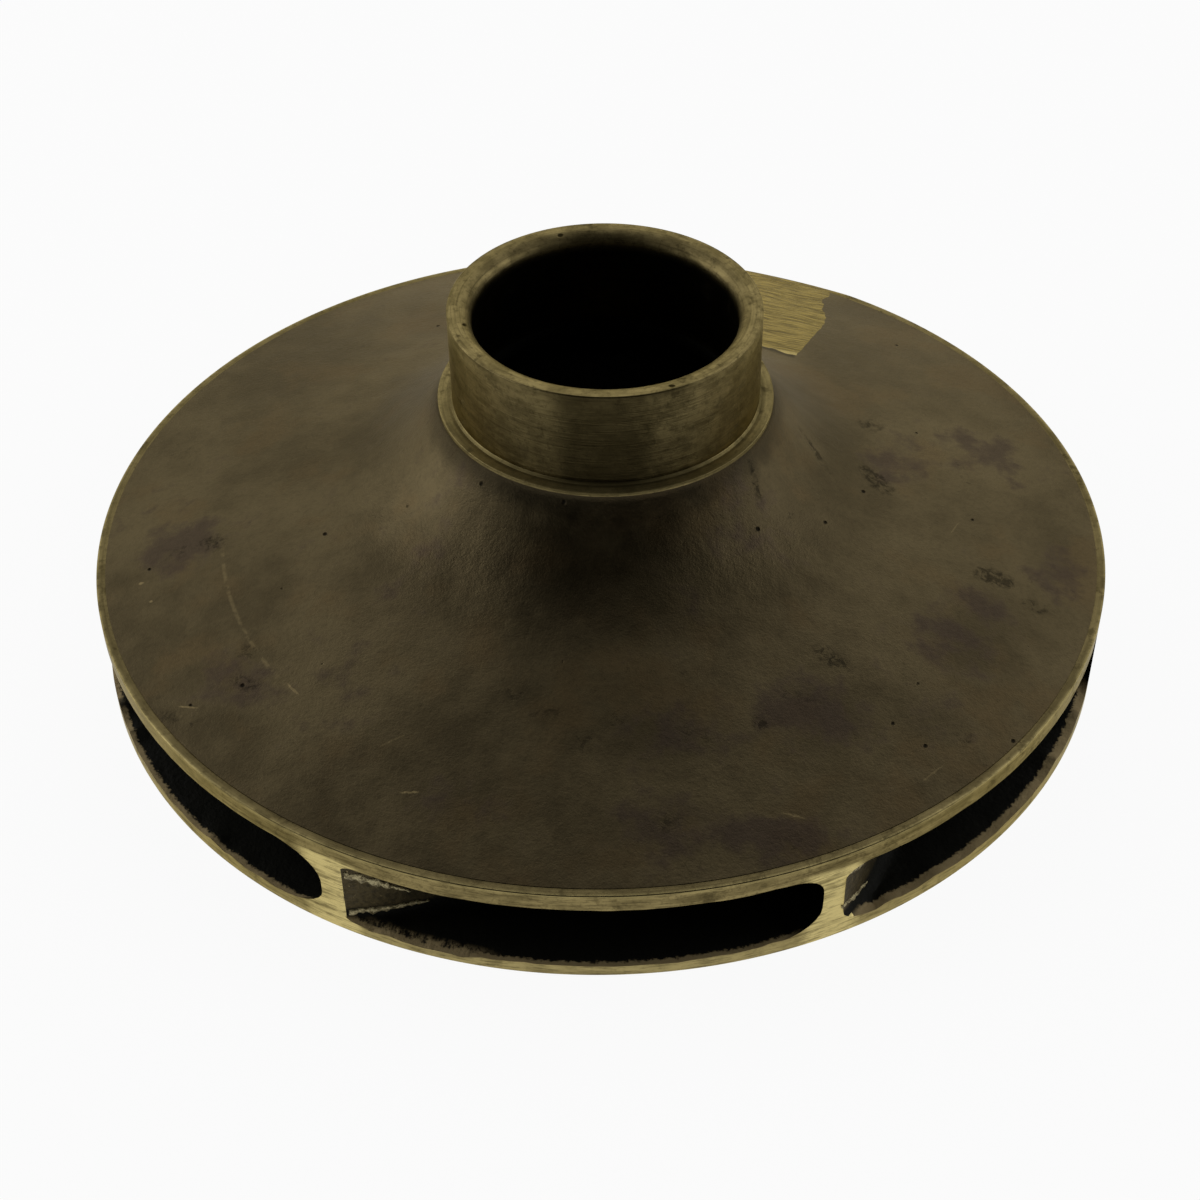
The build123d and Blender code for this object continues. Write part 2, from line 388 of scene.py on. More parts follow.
def makeRidges():  # flash left standing on the outer faces of two vanes
    d = ridges
    arc, centre = vaneLine()
    outlet = math.radians(vanes["outletAngle"])
    verts = []
    faces = []
    for vane, line in d["lines"]:
        line = np.array(line)
        far = np.arange(line[0, 0], line[-1, 0], d["step"])
        height = np.interp(far, line[:, 0], line[:, 1])
        width = np.interp(far, line[:, 0], line[:, 2])
        turn = math.radians(vanes["firstAngle"] + 360 / vanes["count"] * vane)
        base = len(verts)
        for i, (along, z, wide) in enumerate(zip(far, height, width)):
            wave = noise.noise(Vector((along / d["crumbSize"], z / d["crumbSize"], vane)))
            wide = wide * (1 + d["crumbWidth"] * wave)
            z = z + d["wander"] * noise.noise(Vector((along / d["wanderSize"], 5.5, vane)))
            tall = d["height"] * (d["plainHeight"] + d["crumbHeight"] * wave)
            angle = outlet + along / arc
            radial = np.array((math.cos(angle), math.sin(angle)))
            for side, up in d["section"]:
                out = tall * up if up > 0 else -d["sunk"]
                point = centre + (arc + d["half"] + along * d["lean"] + out) * radial
                x = point[0] * math.cos(turn) - point[1] * math.sin(turn)
                y = point[0] * math.sin(turn) + point[1] * math.cos(turn)
                verts.append((x, y, z + side * wide))
        count = len(d["section"])
        for i in range(len(far) - 1):
            for j in range(count):
                n = (j + 1) % count
                a = base + i * count
                faces.append((a + j, a + n, a + count + n, a + count + j))
        last = base + (len(far) - 1) * count
        faces.append(tuple(base + j for j in reversed(range(count))))
        faces.append(tuple(last + j for j in range(count)))
    return meshObject("flashRidges", verts, faces)


balance = dict(
    angle=68.5, width=40.0, start=48.0, cutAtStart=1.1, cutAtRim=0.65, blockTop=70, past=3,
    ragged=0.7, raggedSize=1.6, endSteps=56, sideRagged=0.25, sideSize=2.2, sideSteps=40,
)


def makeBalanceBlock():  # its underside is the flat ground into the front
    b = balance
    outer = form["outerRadius"]
    low = coneHeight(b["start"]) - b["cutAtStart"]
    rimLow = form["rimHeight"] - b["cutAtRim"]
    fall = (low - rimLow) / (outer - b["start"])
    half = b["width"] / 2
    plan = []
    for i in range(b["endSteps"] + 1):  # ragged inner end
        across = -half + b["width"] * i / b["endSteps"]
        wave = noise.noise(Vector((across / b["raggedSize"], 3.3, 0)))
        plan.append((b["start"] + b["ragged"] * wave, across))
    out = range(1, b["sideSteps"] + 1)
    back = range(b["sideSteps"] - 1, 0, -1)
    for side, steps, seed in ((half, out, 7.7), (-half, back, 12.1)):
        for i in steps:
            along = b["start"] + (outer + b["past"] - b["start"]) * i / b["sideSteps"]
            wave = noise.noise(Vector((along / b["sideSize"], seed, 0)))
            plan.append((along, side + b["sideRagged"] * wave))
    turn = math.radians(b["angle"])
    verts = []
    for top in (False, True):
        for along, across in plan:
            x = along * math.cos(turn) - across * math.sin(turn)
            y = along * math.sin(turn) + across * math.cos(turn)
            verts.append((x, y, b["blockTop"] if top else low - (along - b["start"]) * fall))
    count = len(plan)
    faces = [tuple(range(count)), tuple(range(2 * count - 1, count - 1, -1))]
    for j in range(count):
        n = (j + 1) % count
        faces.append((n, j, count + j, count + n))
    return meshObject("balanceBlock", verts, faces)


def makeKey():
    f = form
    heights = (-f["coreGap"], f["hubHeight"] + f["coreGap"])
    verts = [(x, y, z) for x in (0, f["keyReach"]) for y in (-f["keyHalf"], f["keyHalf"]) for z in heights]
    faces = [(0, 1, 3, 2), (4, 6, 7, 5), (0, 4, 5, 1), (2, 3, 7, 6), (0, 2, 6, 4), (1, 5, 7, 3)]
    return meshObject("keySlot", verts, faces)


def outwards(made):  # face normals point out of the solid
    mesh = made.data
    mesh.calc_loop_triangles()
    points = np.array([v.co for v in mesh.vertices])
    corners = points[np.array([t.vertices for t in mesh.loop_triangles])]
    volume = np.einsum("ij,ij->i", corners[:, 0], np.cross(corners[:, 1], corners[:, 2])).sum()
    if volume < 0:
        mesh.flip_normals()
    return made


def carve(target, cutter):
    modifier = target.modifiers.new("carve", "BOOLEAN")
    modifier.operation = "DIFFERENCE"
    modifier.solver = "MANIFOLD"
    modifier.object = cutter
    bpy.context.view_layer.update()
    carved = bpy.data.meshes.new_from_object(target.evaluated_get(bpy.context.evaluated_depsgraph_get()))
    target.modifiers.clear()
    old = target.data
    target.data = carved
    bpy.data.meshes.remove(old)
    bpy.data.objects.remove(cutter)
    return target


waterway = carve(outwards(makeWaterway()), outwards(makeVanes()))
print("passages cut", len(waterway.data.polygons))
casting = carve(outwards(makeBlank()), waterway)
casting = carve(casting, outwards(makeKey()))
casting = carve(casting, outwards(makeBalanceBlock()))
casting.name = "impellerCasting"
casting.data.name = "impellerCasting"
print("casting carved", len(casting.data.polygons))


class Wire:  # one output socket, with maths on it
    def __init__(self, graph, socket):
        self.graph = graph
        self.socket = socket

    def __add__(self, other):
        return self.graph.maths("ADD", self, other)

    def __radd__(self, other):
        return self.graph.maths("ADD", other, self)

    def __sub__(self, other):
        return self.graph.maths("SUBTRACT", self, other)

    def __rsub__(self, other):
        return self.graph.maths("SUBTRACT", other, self)

    def __mul__(self, other):
        return self.graph.maths("MULTIPLY", self, other)

    def __rmul__(self, other):
        return self.graph.maths("MULTIPLY", other, self)

    def __gt__(self, other):
        return self.graph.maths("GREATER_THAN", self, other)

    def __abs__(self):
        return self.graph.maths("ABSOLUTE", self)


class Graph:  # the nodes of one material or world
    def __init__(self, tree):
        self.tree = tree
        tree.nodes.clear()

    def node(self, kind, settings, inputs, out=0):
        made = self.tree.nodes.new(kind)
        for name, value in settings.items():
            setattr(made, name, value)
        for name, value in inputs.items():
            if isinstance(value, Wire):
                self.tree.links.new(value.socket, made.inputs[name])
            else:
                made.inputs[name].default_value = value
        return Wire(self, made.outputs[out]) if len(made.outputs) else made

    def maths(self, operation, *values):
        return self.node("ShaderNodeMath", {"operation": operation}, dict(enumerate(values)))

    def smooth(self, value, low, high):  # 0 below low, 1 above high
        return self.node("ShaderNodeMapRange", {"interpolation_type": "SMOOTHSTEP"},
                         {"Value": value, "From Min": low, "From Max": high})

    def moved(self, place, shift):
        return self.node("ShaderNodeVectorMath", {"operation": "ADD"}, {0: place, 1: shift})

    def mix(self, share, first, second):
        settings = {"data_type": "RGBA", "blend_type": "MIX", "clamp_factor": True}
        return self.node("ShaderNodeMix", settings, {0: share, 6: first, 7: second}, out=2)

    def noise(self, place, size, detail=3.0, roughness=0.55, distortion=0.0):  # size in millimetres
        return self.node("ShaderNodeTexNoise", {}, {
            "Vector": place, "Scale": 1 / size, "Detail": detail, "Roughness": roughness,
            "Distortion": distortion})

    def place(self):  # object coordinates in millimetres
        metres = self.node("ShaderNodeTexCoord", {}, {}, out=3)
        return self.node("ShaderNodeVectorMath", {"operation": "SCALE"}, {0: metres, "Scale": 1 / mm})

    def parts(self, place):
        made = self.node("ShaderNodeSeparateXYZ", {}, {"Vector": place})
        return [Wire(self, made.socket.node.outputs[i]) for i in range(3)]

    def joined(self, x, y, z):
        return self.node("ShaderNodeCombineXYZ", {}, {0: x, 1: y, 2: z})

    def streaks(self, x, y, z, detail, roughness):  # noise drawn out along the slower coordinates
        return self.noise(self.joined(x, y, z), 1.0, detail, roughness)

    def bump(self, height, strength, distance):
        inputs = {"Height": height, "Strength": strength, "Distance": distance}
        return self.node("ShaderNodeBump", {}, inputs)

    def surface(self, inputs):
        shader = self.node("ShaderNodeBsdfPrincipled", {}, inputs)
        self.node("ShaderNodeOutputMaterial", {}, {"Surface": shader})


def newMaterial(name):
    made = bpy.data.materials.new(name)
    made.use_nodes = True
    return made, Graph(made.node_tree)


def rgb(red, green, blue):  # from 0-255 values
    def linear(value):
        value = value / 255
        return value / 12.92 if value <= 0.04045 else ((value + 0.055) / 1.055) ** 2.4
    return (linear(red), linear(green), linear(blue), 1.0)


skin = dict(
    light=rgb(95, 84, 60), dark=rgb(74, 65, 46), purple=rgb(68, 57, 50), stain=rgb(26, 24, 20),
    warm=rgb(92, 77, 52), scratch=rgb(138, 122, 86), edge=(0.78, 0.72, 0.60, 1),
    metallic=0.97, roughness=0.42,
    blotches=[  # x, y, half length, half width, turn in degrees, strength
        (47.2, -3.2, 3.6, 1.7, -48, 0.75), (36.0, -3.3, 4.0, 0.4, -52, 0.6),
        (66.3, -23.0, 3.2, 1.6, -10, 0.85), (72.9, -28.0, 2.6, 0.9, -15, 0.6),
        (35.9, -46.2, 2.9, 1.2, -25, 0.85), (23.6, -59.6, 1.0, 0.7, 0, 0.8),
        (24.5, -19.6, 0.4, 2.4, 20, 0.5), (8.6, -76.9, 3.4, 1.4, 5, 0.45),
        (26.5, -79.8, 2.9, 1.3, 10, 0.4), (-67.9, -11.8, 2.6, 1.8, -20, 0.55),
        (-73.6, -12.5, 2.2, 1.8, 0, 0.4), (-58.6, -39.4, 1.9, 1.1, -40, 0.55),
        (-58.0, -45.9, 2.8, 1.2, -30, 0.5), (48.1, 14.1, 2.6, 1.8, 35, 0.55),
        (12.4, -62.3, 4.8, 3.0, 0, 0.35), (-15.6, -54.4, 3.2, 1.3, 25, 0.4),
        (-10.0, -57.8, 2.4, 1.4, -10, 0.4), (-3.9, -63.3, 2.6, 1.5, 30, 0.45),
        (0.8, -59.6, 2.2, 1.0, 0, 0.35), (30.2, -54.9, 4.0, 2.2, -10, 0.35),
        (39.8, -83.2, 2.4, 1.2, 20, 0.4), (19.2, -67.9, 2.6, 1.6, 0, 0.35),
        (11.8, -84.6, 3.4, 1.2, 6, 0.4), (-70.0, -50.0, 2.4, 1.0, -35, 0.45),
        (-12.5, -66.5, 2.0, 1.2, 0, 0.35), (56.5, -58.5, 2.4, 1.5, 40, 0.35),
    ],
    patches=[  # purple bloom
        (58.1, -38.9, 7.0, 5.0, -20, 0.9), (63.4, -31.6, 6.0, 4.0, -20, 0.8),
        (33.2, -56.7, 7.5, 5.5, -10, 0.9), (9.1, -61.4, 8.0, 5.0, 0, 0.7),
        (78.5, -16.5, 4.0, 9.0, -10, 0.7), (-73.0, -11.3, 7.0, 5.5, 0, 0.8),
        (26.0, -79.5, 6.5, 3.5, 10, 0.8), (-62.0, -44.0, 8.0, 5.0, -35, 0.7),
        (51.2, -56.0, 6.0, 5.0, 30, 0.5), (50.5, 3.0, 9.0, 5.0, 40, 0.6),
        (-22.0, -72.0, 9.0, 4.0, -10, 0.5), (70.0, 14.0, 6.0, 7.0, 20, 0.5),
        (8.0, -77.5, 7.0, 3.6, 0, 0.7), (24.0, -24.0, 7.0, 6.0, -40, 0.6),
        (-30.0, -26.0, 9.0, 7.0, 40, 0.5),
    ],
    lines=[  # pale scratches
        (-30.6, -70.0, 1.7, 0.22, -3, 0.9), (-67.3, -48.7, 1.9, 0.2, -18, 0.7),
        (-50.4, -48.4, 2.0, 0.25, -50, 0.6), (-79.3, -18.6, 0.5, 0.35, 0, 0.9),
        (-76.8, -23.6, 0.4, 0.3, 0, 0.8), (28.0, -75.2, 2.2, 0.2, -12, 0.5),
        (50.5, -66.0, 3.0, 0.18, 42, 0.35), (-33.5, -60.5, 2.6, 0.16, 24, 0.3),
        (60.5, -12.0, 2.2, 0.15, 60, 0.3),
    ],
)


def marked(g, place, marks, low, high):  # strongest of a few soft ellipses
    out = 0.0
    for x, y, length, width, turn, strength in marks:
        spot = g.node("ShaderNodeMapping", {"vector_type": "TEXTURE"}, {
            "Vector": place, "Location": (x, y, 0), "Rotation": (0, 0, math.radians(turn)),
            "Scale": (length, width, 1)})
        far = g.node("ShaderNodeVectorMath", {"operation": "LENGTH"}, {0: spot}, out=1)
        out = g.maths("MAXIMUM", out, (1 - g.smooth(far, low, high)) * strength)
    return out


def paintMarks(made):  # blotches and bloom as strengths on the mesh, which the skin's noise makes ragged
    mesh = made.data
    points = np.empty(len(mesh.vertices) * 3)
    mesh.vertices.foreach_get("co", points)
    points = points.reshape(-1, 3) / mm
    for name, soft in (("blotches", 0.5), ("patches", 0.65)):
        layer = np.zeros(len(points))
        for x, y, length, width, turn, strength in skin[name]:
            turn = math.radians(turn)
            along = (points[:, 0] - x) * math.cos(turn) + (points[:, 1] - y) * math.sin(turn)
            across = (points[:, 1] - y) * math.cos(turn) - (points[:, 0] - x) * math.sin(turn)
            far = np.hypot(along / (length + 0.5), across / (width + 0.5))
            layer = np.maximum(layer, strength * np.clip((1 + soft - far) / (2 * soft), 0, 1))
        mesh.attributes.new(name, "FLOAT", "POINT").data.foreach_set("value", layer.astype(np.float32))


def makeSkin():
    s = skin
    material, g = newMaterial("castSkin")
    p = g.place()
    x, y = g.parts(p)[:2]
    radius = g.maths("SQRT", x * x + y * y)
    broad = g.noise(p, 30.0, 3.0, 0.55)
    middle = g.noise(p, 5.0, 4.0, 0.6)
    fine = g.noise(p, 0.9, 4.0, 0.65)
    grit = g.noise(p, 0.35, 2.0, 0.6)
    colour = g.mix(g.smooth(broad * 0.7 + middle * 0.3, 0.38, 0.62), s["dark"], s["light"])
    warm = g.smooth(g.noise(g.moved(p, (41.0, 13.0, 7.0)), 15.0, 3.0, 0.6), 0.50, 0.68)
    colour = g.mix(warm * 0.5, colour, s["warm"])
    shaken = (g.noise(p, 1.5, 5.0, 0.7, 0.6) - 0.5) * 6.0  # makes the painted marks ragged
    patches = g.node("ShaderNodeAttribute", {"attribute_name": "patches"}, {}, out=2)
    bloom = g.smooth(patches + (broad - 0.5) * 1.6 + (middle - 0.5) * 2.2, 0.25, 0.95)
    colour = g.mix(bloom * 0.7, colour, s["purple"])
    sparse = g.smooth(g.noise(g.moved(p, (9.0, 77.0, 3.0)), 22.0, 2.0, 0.5), 0.54, 0.68)
    flecks = g.smooth(g.noise(p, 2.0, 5.0, 0.72, 0.3), 0.60, 0.70) * sparse
    colour = g.mix(flecks * 0.5, colour, s["stain"])
    blotches = g.node("ShaderNodeAttribute", {"attribute_name": "blotches"}, {}, out=2)
    blots = g.smooth(blotches * (1 + shaken), 0.2, 0.95)
    colour = g.mix(blots * (0.30 + fine * 0.5), colour, s["stain"])
    slight = g.joined(x + (fine - 0.5) * 0.5, y + (grit - 0.5) * 0.5, 0.0)
    cells = g.node("ShaderNodeTexVoronoi", {}, {"Vector": p, "Scale": 1 / 6.5})
    chosen = g.parts(Wire(g, cells.socket.node.outputs["Color"]))[0] > 0.62
    pits = (1 - g.smooth(cells, 0.03, 0.08)) * chosen
    colour = g.mix(pits * 0.9, colour, s["stain"])
    angle = g.maths("ARCTAN2", y, x)  # -180 to 180 from +X
    along = g.smooth(angle, -2.95, -2.90) * (1 - g.smooth(angle, -2.42, -2.37))
    arc = g.smooth(abs(radius - (67.2 + (angle + 2.94) * 5.5)), 0.5, 0.1) * along
    arc = arc * g.smooth(g.noise(p, 3.0, 3.0, 0.7), 0.42, 0.58)
    scratches = g.maths("MAXIMUM", arc * 0.32, marked(g, slight, s["lines"], 0.5, 1.1))
    colour = g.mix(scratches * 0.9, colour, s["scratch"])
    colour = g.mix(g.smooth(fine, 0.42, 0.72) * 0.16, colour, s["stain"])
    # darker along the ragged end of the ground flat
    turn = math.radians(balance["angle"])
    inward = x * math.cos(turn) + y * math.sin(turn) - balance["start"]
    across = abs(y * math.cos(turn) - x * math.sin(turn)) + (middle - 0.5) * 3
    darkAtFlatEnd = g.smooth(inward, -1.7, -0.5) * (1 - g.smooth(inward, 0.4, 1.0))
    darkAtFlatEnd = darkAtFlatEnd * (1 - g.smooth(across, 19.4, 20.4))
    colour = g.mix(darkAtFlatEnd * 0.7, colour, s["stain"])
    collar = (1 - g.smooth(radius + (middle - 0.5) * 3, 29.2, 31.5)) * 0.5  # darker round the foot of the shoulder
    colour = g.mix(collar, colour, s["stain"])
    rough = s["roughness"] + (middle - 0.5) * 0.16 + blots * 0.15 + pits * 0.3 + bloom * 0.04
    height = middle * 0.35 + fine * 0.45 + grit * 0.25 - pits * 2.5 - blots * 0.15
    normal = g.bump(height, 0.55, 0.00028)
    g.surface({"Base Color": colour, "Metallic": s["metallic"], "Roughness": rough,
               "Specular Tint": s["edge"], "Normal": normal})
    return material


turned = dict(
    bright=rgb(139, 125, 84), dull=rgb(103, 92, 60), smudge=rgb(56, 48, 31), polished=rgb(200, 184, 126),
    groove=rgb(52, 45, 26), shade=rgb(14, 13, 9), edge=(0.80, 0.72, 0.50, 1), metallic=0.97, roughness=0.34,
    pits=[  # in the ring's end
        (-22.9, -5.2, 0.7, 0.45, 60, 1.0), (-7.7, 22.4, 0.6, 0.4, 20, 0.9), (10.3, -23.1, 0.6, 0.4, 0, 1.0),
    ],
)


def makeTurned():
    s = turned
    material, g = newMaterial("turnedBronze")
    p = g.place()
    x, y, z = g.parts(p)
    radius = g.maths("SQRT", x * x + y * y)
    angle = g.maths("ARCTAN2", y, x)
    rings = g.streaks(radius * 3.4, z * 3.4, angle * 2.0, 4.0, 0.65)
    smears = g.streaks(radius * 0.7, z * 0.8, angle * 7.0, 4.0, 0.6)
    cloud = g.noise(p, 6.0, 4.0, 0.65)
    colour = g.mix(g.smooth(cloud * 0.5 + smears * 0.5, 0.38, 0.62), s["dull"], s["bright"])
    colour = g.mix(g.smooth(rings, 0.48, 0.72) * 0.45, colour, s["smudge"])
    smudges = g.smooth(g.noise(g.moved(p, (5.0, 31.0, 17.0)), 3.6, 5.0, 0.7), 0.55, 0.68)
    colour = g.mix(smudges * 0.38, colour, s["smudge"])
    dirt = g.smooth(g.noise(p, 0.9, 4.0, 0.75), 0.50, 0.66)
    colour = g.mix(dirt * 0.42, colour, s["smudge"])
    # metal rubbed bright between the outlets and along the lower edge
    onRim = g.smooth(radius, 88.0, 88.8)
    pitch = 2 * math.pi / vanes["count"]
    fromTip = abs(g.maths("WRAP", angle - math.radians(vanes["firstAngle"]), pitch / 2, -pitch / 2))
    between = 1 - g.smooth(fromTip + (cloud - 0.5) * 0.03, 0.035, 0.075)
    low = 1 - g.smooth(z, 1.6, 3.6)
    rubbed = onRim * g.maths("MAXIMUM", between * (1 - g.smooth(z, 15.4, 16.4)), low * 0.3)
    colour = g.mix(rubbed * g.smooth(smears + cloud * 0.4, 0.40, 0.75), colour, s["polished"])
    lip = onRim * g.smooth(z, 17.3, 18.2)
    colour = g.mix(lip * 0.2, colour, s["polished"])
    scored = g.streaks(z * 2.6, angle * 16.0, 3.0, 5.0, 0.75)
    colour = g.mix(onRim * g.smooth(scored, 0.48, 0.62) * 0.6, colour, s["smudge"])
    # the ring's wall is painted darker on the -Y side: painted shade for the dark reflection it shows
    # there, with some real dirt smears
    onWall = (1 - g.smooth(radius, 26.3, 26.5)) * g.smooth(radius, 25.9, 26.1)
    shadeAndDirtStart = g.smooth(angle + (smears - 0.5) * 0.25, -1.98, -1.78)
    shadeAndDirtEnd = g.smooth(angle + (cloud - 0.5) * 0.6, -1.42, -0.98)
    colour = g.mix(onWall * shadeAndDirtStart * (1 - shadeAndDirtEnd) * 0.75, colour, s["groove"])
    strip = g.smooth(z, 18.36, 18.39) * (1 - g.smooth(z, 18.8, 19.2)) * (1 - g.smooth(radius, 88.5, 88.9))
    colour = g.mix(strip * 0.5, colour, s["smudge"])
    # painted highlight and painted shade on the shoulder: its top is painted lighter, and a painted shade
    # line stands for the dark groove that runs round inside the shoulder's bright edge
    onShoulder = g.smooth(z, 46.0, 46.4) * (1 - g.smooth(z, 46.9, 47.2))
    onShoulder = onShoulder * (1 - g.smooth(radius, 28.7, 29.2))
    groove = onShoulder * (1 - g.smooth(radius + (cloud - 0.5) * 0.4, 26.9, 27.3))
    colour = g.mix(onShoulder * 0.15, colour, s["polished"])
    colour = g.mix(groove * 0.35, colour, s["groove"])
    throat = (1 - g.smooth(radius, 22.6, 23.3)) * (1 - g.smooth(z, 60.2, 62.2)) * g.smooth(z, 37.0, 38.0)
    colour = g.mix(throat * 0.9, colour, s["shade"])
    pits = marked(g, g.joined(x, y, 0.0), s["pits"], 0.6, 1.1) * g.smooth(z, 63.0, 63.5)
    colour = g.mix(pits, colour, s["groove"])
    back = 1 - g.smooth(z, 0.15, 0.4)
    colour = g.mix(back * 0.25, colour, s["dull"])
    rough = s["roughness"] + smudges * 0.2 + (rings - 0.5) * 0.2 + pits * 0.3
    rough = rough + onShoulder * 0.22 + g.smooth(z, 60.8, 63.0) * 0.12
    normal = g.bump(rings * 0.8 + cloud * 0.2 - pits * 3, 0.35, 0.00012)
    g.surface({"Base Color": colour, "Metallic": s["metallic"], "Roughness": rough,
               "Specular Tint": s["edge"], "Normal": normal})
    return material


ground = dict(
    bright=rgb(148, 130, 72), dull=rgb(72, 60, 28), burr=rgb(178, 162, 108), edge=(0.88, 0.80, 0.60, 1),
    metallic=0.98, roughness=0.38,
)


def makeGround():
    s = ground
    material, g = newMaterial("groundBronze")
    p = g.place()
    x, y = g.parts(p)[:2]
    turn = math.radians(balance["angle"])
    along = x * math.cos(turn) + y * math.sin(turn)
    across = y * math.cos(turn) - x * math.sin(turn)
    wave = g.noise(p, 9.0, 2.0, 0.5)
    lines = g.streaks(along * 1.5 + wave * 3.5, across * 0.10, 0.0, 5.0, 0.72)
    hair = g.streaks(along * 4.5, across * 0.25, 2.0, 2.0, 0.5)
    colour = g.mix(g.smooth(lines * 0.65 + hair * 0.35, 0.40, 0.60), s["dull"], s["bright"])
    burr = 1 - g.smooth(along + (g.noise(p, 1.4, 3.0, 0.6) - 0.5) * 2.4 - balance["start"], 0.8, 1.9)
    colour = g.mix(burr * 0.85, colour, s["burr"])
    colour = g.mix(g.smooth(g.noise(p, 2.4, 4.0, 0.7), 0.50, 0.70) * 0.4, colour, s["dull"])
    rough = s["roughness"] + (hair - 0.5) * 0.2 + burr * 0.1
    normal = g.bump(lines * 0.7 + hair * 0.3 + burr * g.noise(p, 0.8, 2.0, 0.5), 0.6, 0.00025)
    g.surface({"Base Color": colour, "Metallic": s["metallic"], "Roughness": rough,
               "Specular Tint": s["edge"], "Normal": normal})
    return material


# the deep colour is painted shade inside the passages
inner = dict(near=rgb(84, 74, 50), deepShade=rgb(30, 30, 25), paleFleckAndLit=rgb(196, 174, 128), shine=0.06)


def makeInner():
    s = inner
    material, g = newMaterial("castInside")
    p = g.place()
    x, y, z = g.parts(p)
    radius = g.maths("SQRT", x * x + y * y)
    angle = g.maths("ARCTAN2", y, x)
    middle = g.noise(p, 3.0, 4.0, 0.7)
    fine = g.noise(p, 0.8, 3.0, 0.65)
    onVane = g.smooth(z, 4.4, 5.4)  # painted light: the vanes' ends are painted lighter than the floor and roof, as they catch more light
    # painted shade: away from the rim and off the vanes' ends the passages take the dark deep colour
    near = g.smooth(radius + (middle - 0.5) * 9.0, 77.0, 88.0) * onVane
    colour = g.mix(near, s["deepShade"], s["near"])
    colour = g.mix(g.smooth(fine, 0.42, 0.68) * 0.5, colour, s["deepShade"])
    streaks = g.streaks(angle * 80.0, radius * 0.5, z * 0.6, 4.0, 0.7)
    worn = g.smooth(angle, -2.05, -1.98) * (1 - g.smooth(angle, -1.84, -1.76))
    low = (1 - g.smooth(z, 2.5, 3.4)) * g.smooth(radius, 86.6, 88.0)
    colour = g.mix(low * worn * g.smooth(streaks * 0.6 + fine * 0.4, 0.42, 0.60), colour, s["paleFleckAndLit"])
    # painted light: the floor's lip just inside each opening is painted pale, as it catches light; the pale
    # fleck colour also serves the real flecks and wear
    reach = 87.9 - g.smooth(angle, -1.16, -1.08) * 0.7
    lip = (1 - g.smooth(z, 2.7, 3.6)) * g.smooth(radius + (fine - 0.5) * 1.8 - reach, 0.0, 0.5)
    colour = g.mix(lip * 0.9, colour, s["paleFleckAndLit"])
    specks = g.smooth(g.noise(p, 0.7, 2.0, 0.6), 0.66, 0.74) * near
    colour = g.mix(specks * 0.4, colour, s["paleFleckAndLit"])
    rough = 0.58 + (middle - 0.5) * 0.2
    normal = g.bump(middle * 0.6 + fine * 0.4 + low * worn * streaks, 0.8, 0.0005)
    g.surface({"Base Color": colour, "Metallic": near * (1 - lip) * 0.6, "Roughness": rough,
               "Specular IOR Level": s["shine"], "Normal": normal})
    return material


flash = dict(light=rgb(196, 184, 140), dark=rgb(104, 92, 60), metallic=0.6)


def makeFlash():
    s = flash
    material, g = newMaterial("castFlash")
    p = g.place()
    crumbs = g.noise(p, 0.7, 4.0, 0.7)
    colour = g.mix(g.smooth(crumbs, 0.40, 0.58), s["dark"], s["light"])
    normal = g.bump(crumbs, 0.8, 0.0003)
    rough = 0.5 + (crumbs - 0.5) * 0.3
    g.surface({"Base Color": colour, "Metallic": s["metallic"], "Roughness": rough, "Normal": normal})
    return material


casting.data.materials.clear()
materials = [makeSkin(), makeTurned(), makeGround(), makeInner()]
for material in materials:
    casting.data.materials.append(material)
paintMarks(casting)
print("materials made", len(materials))

zones = dict(
    skinDepth=2.0, skinFrom=17, skinFacing=0.02, slack=0.05, rimSlack=0.15, rimFacing=0.6, boreSlack=1.0,
    flatSlack=0.02, flatEdge=0.4, flatEnd=1, flatFacing=0.9997, sharpAngle=32,
)


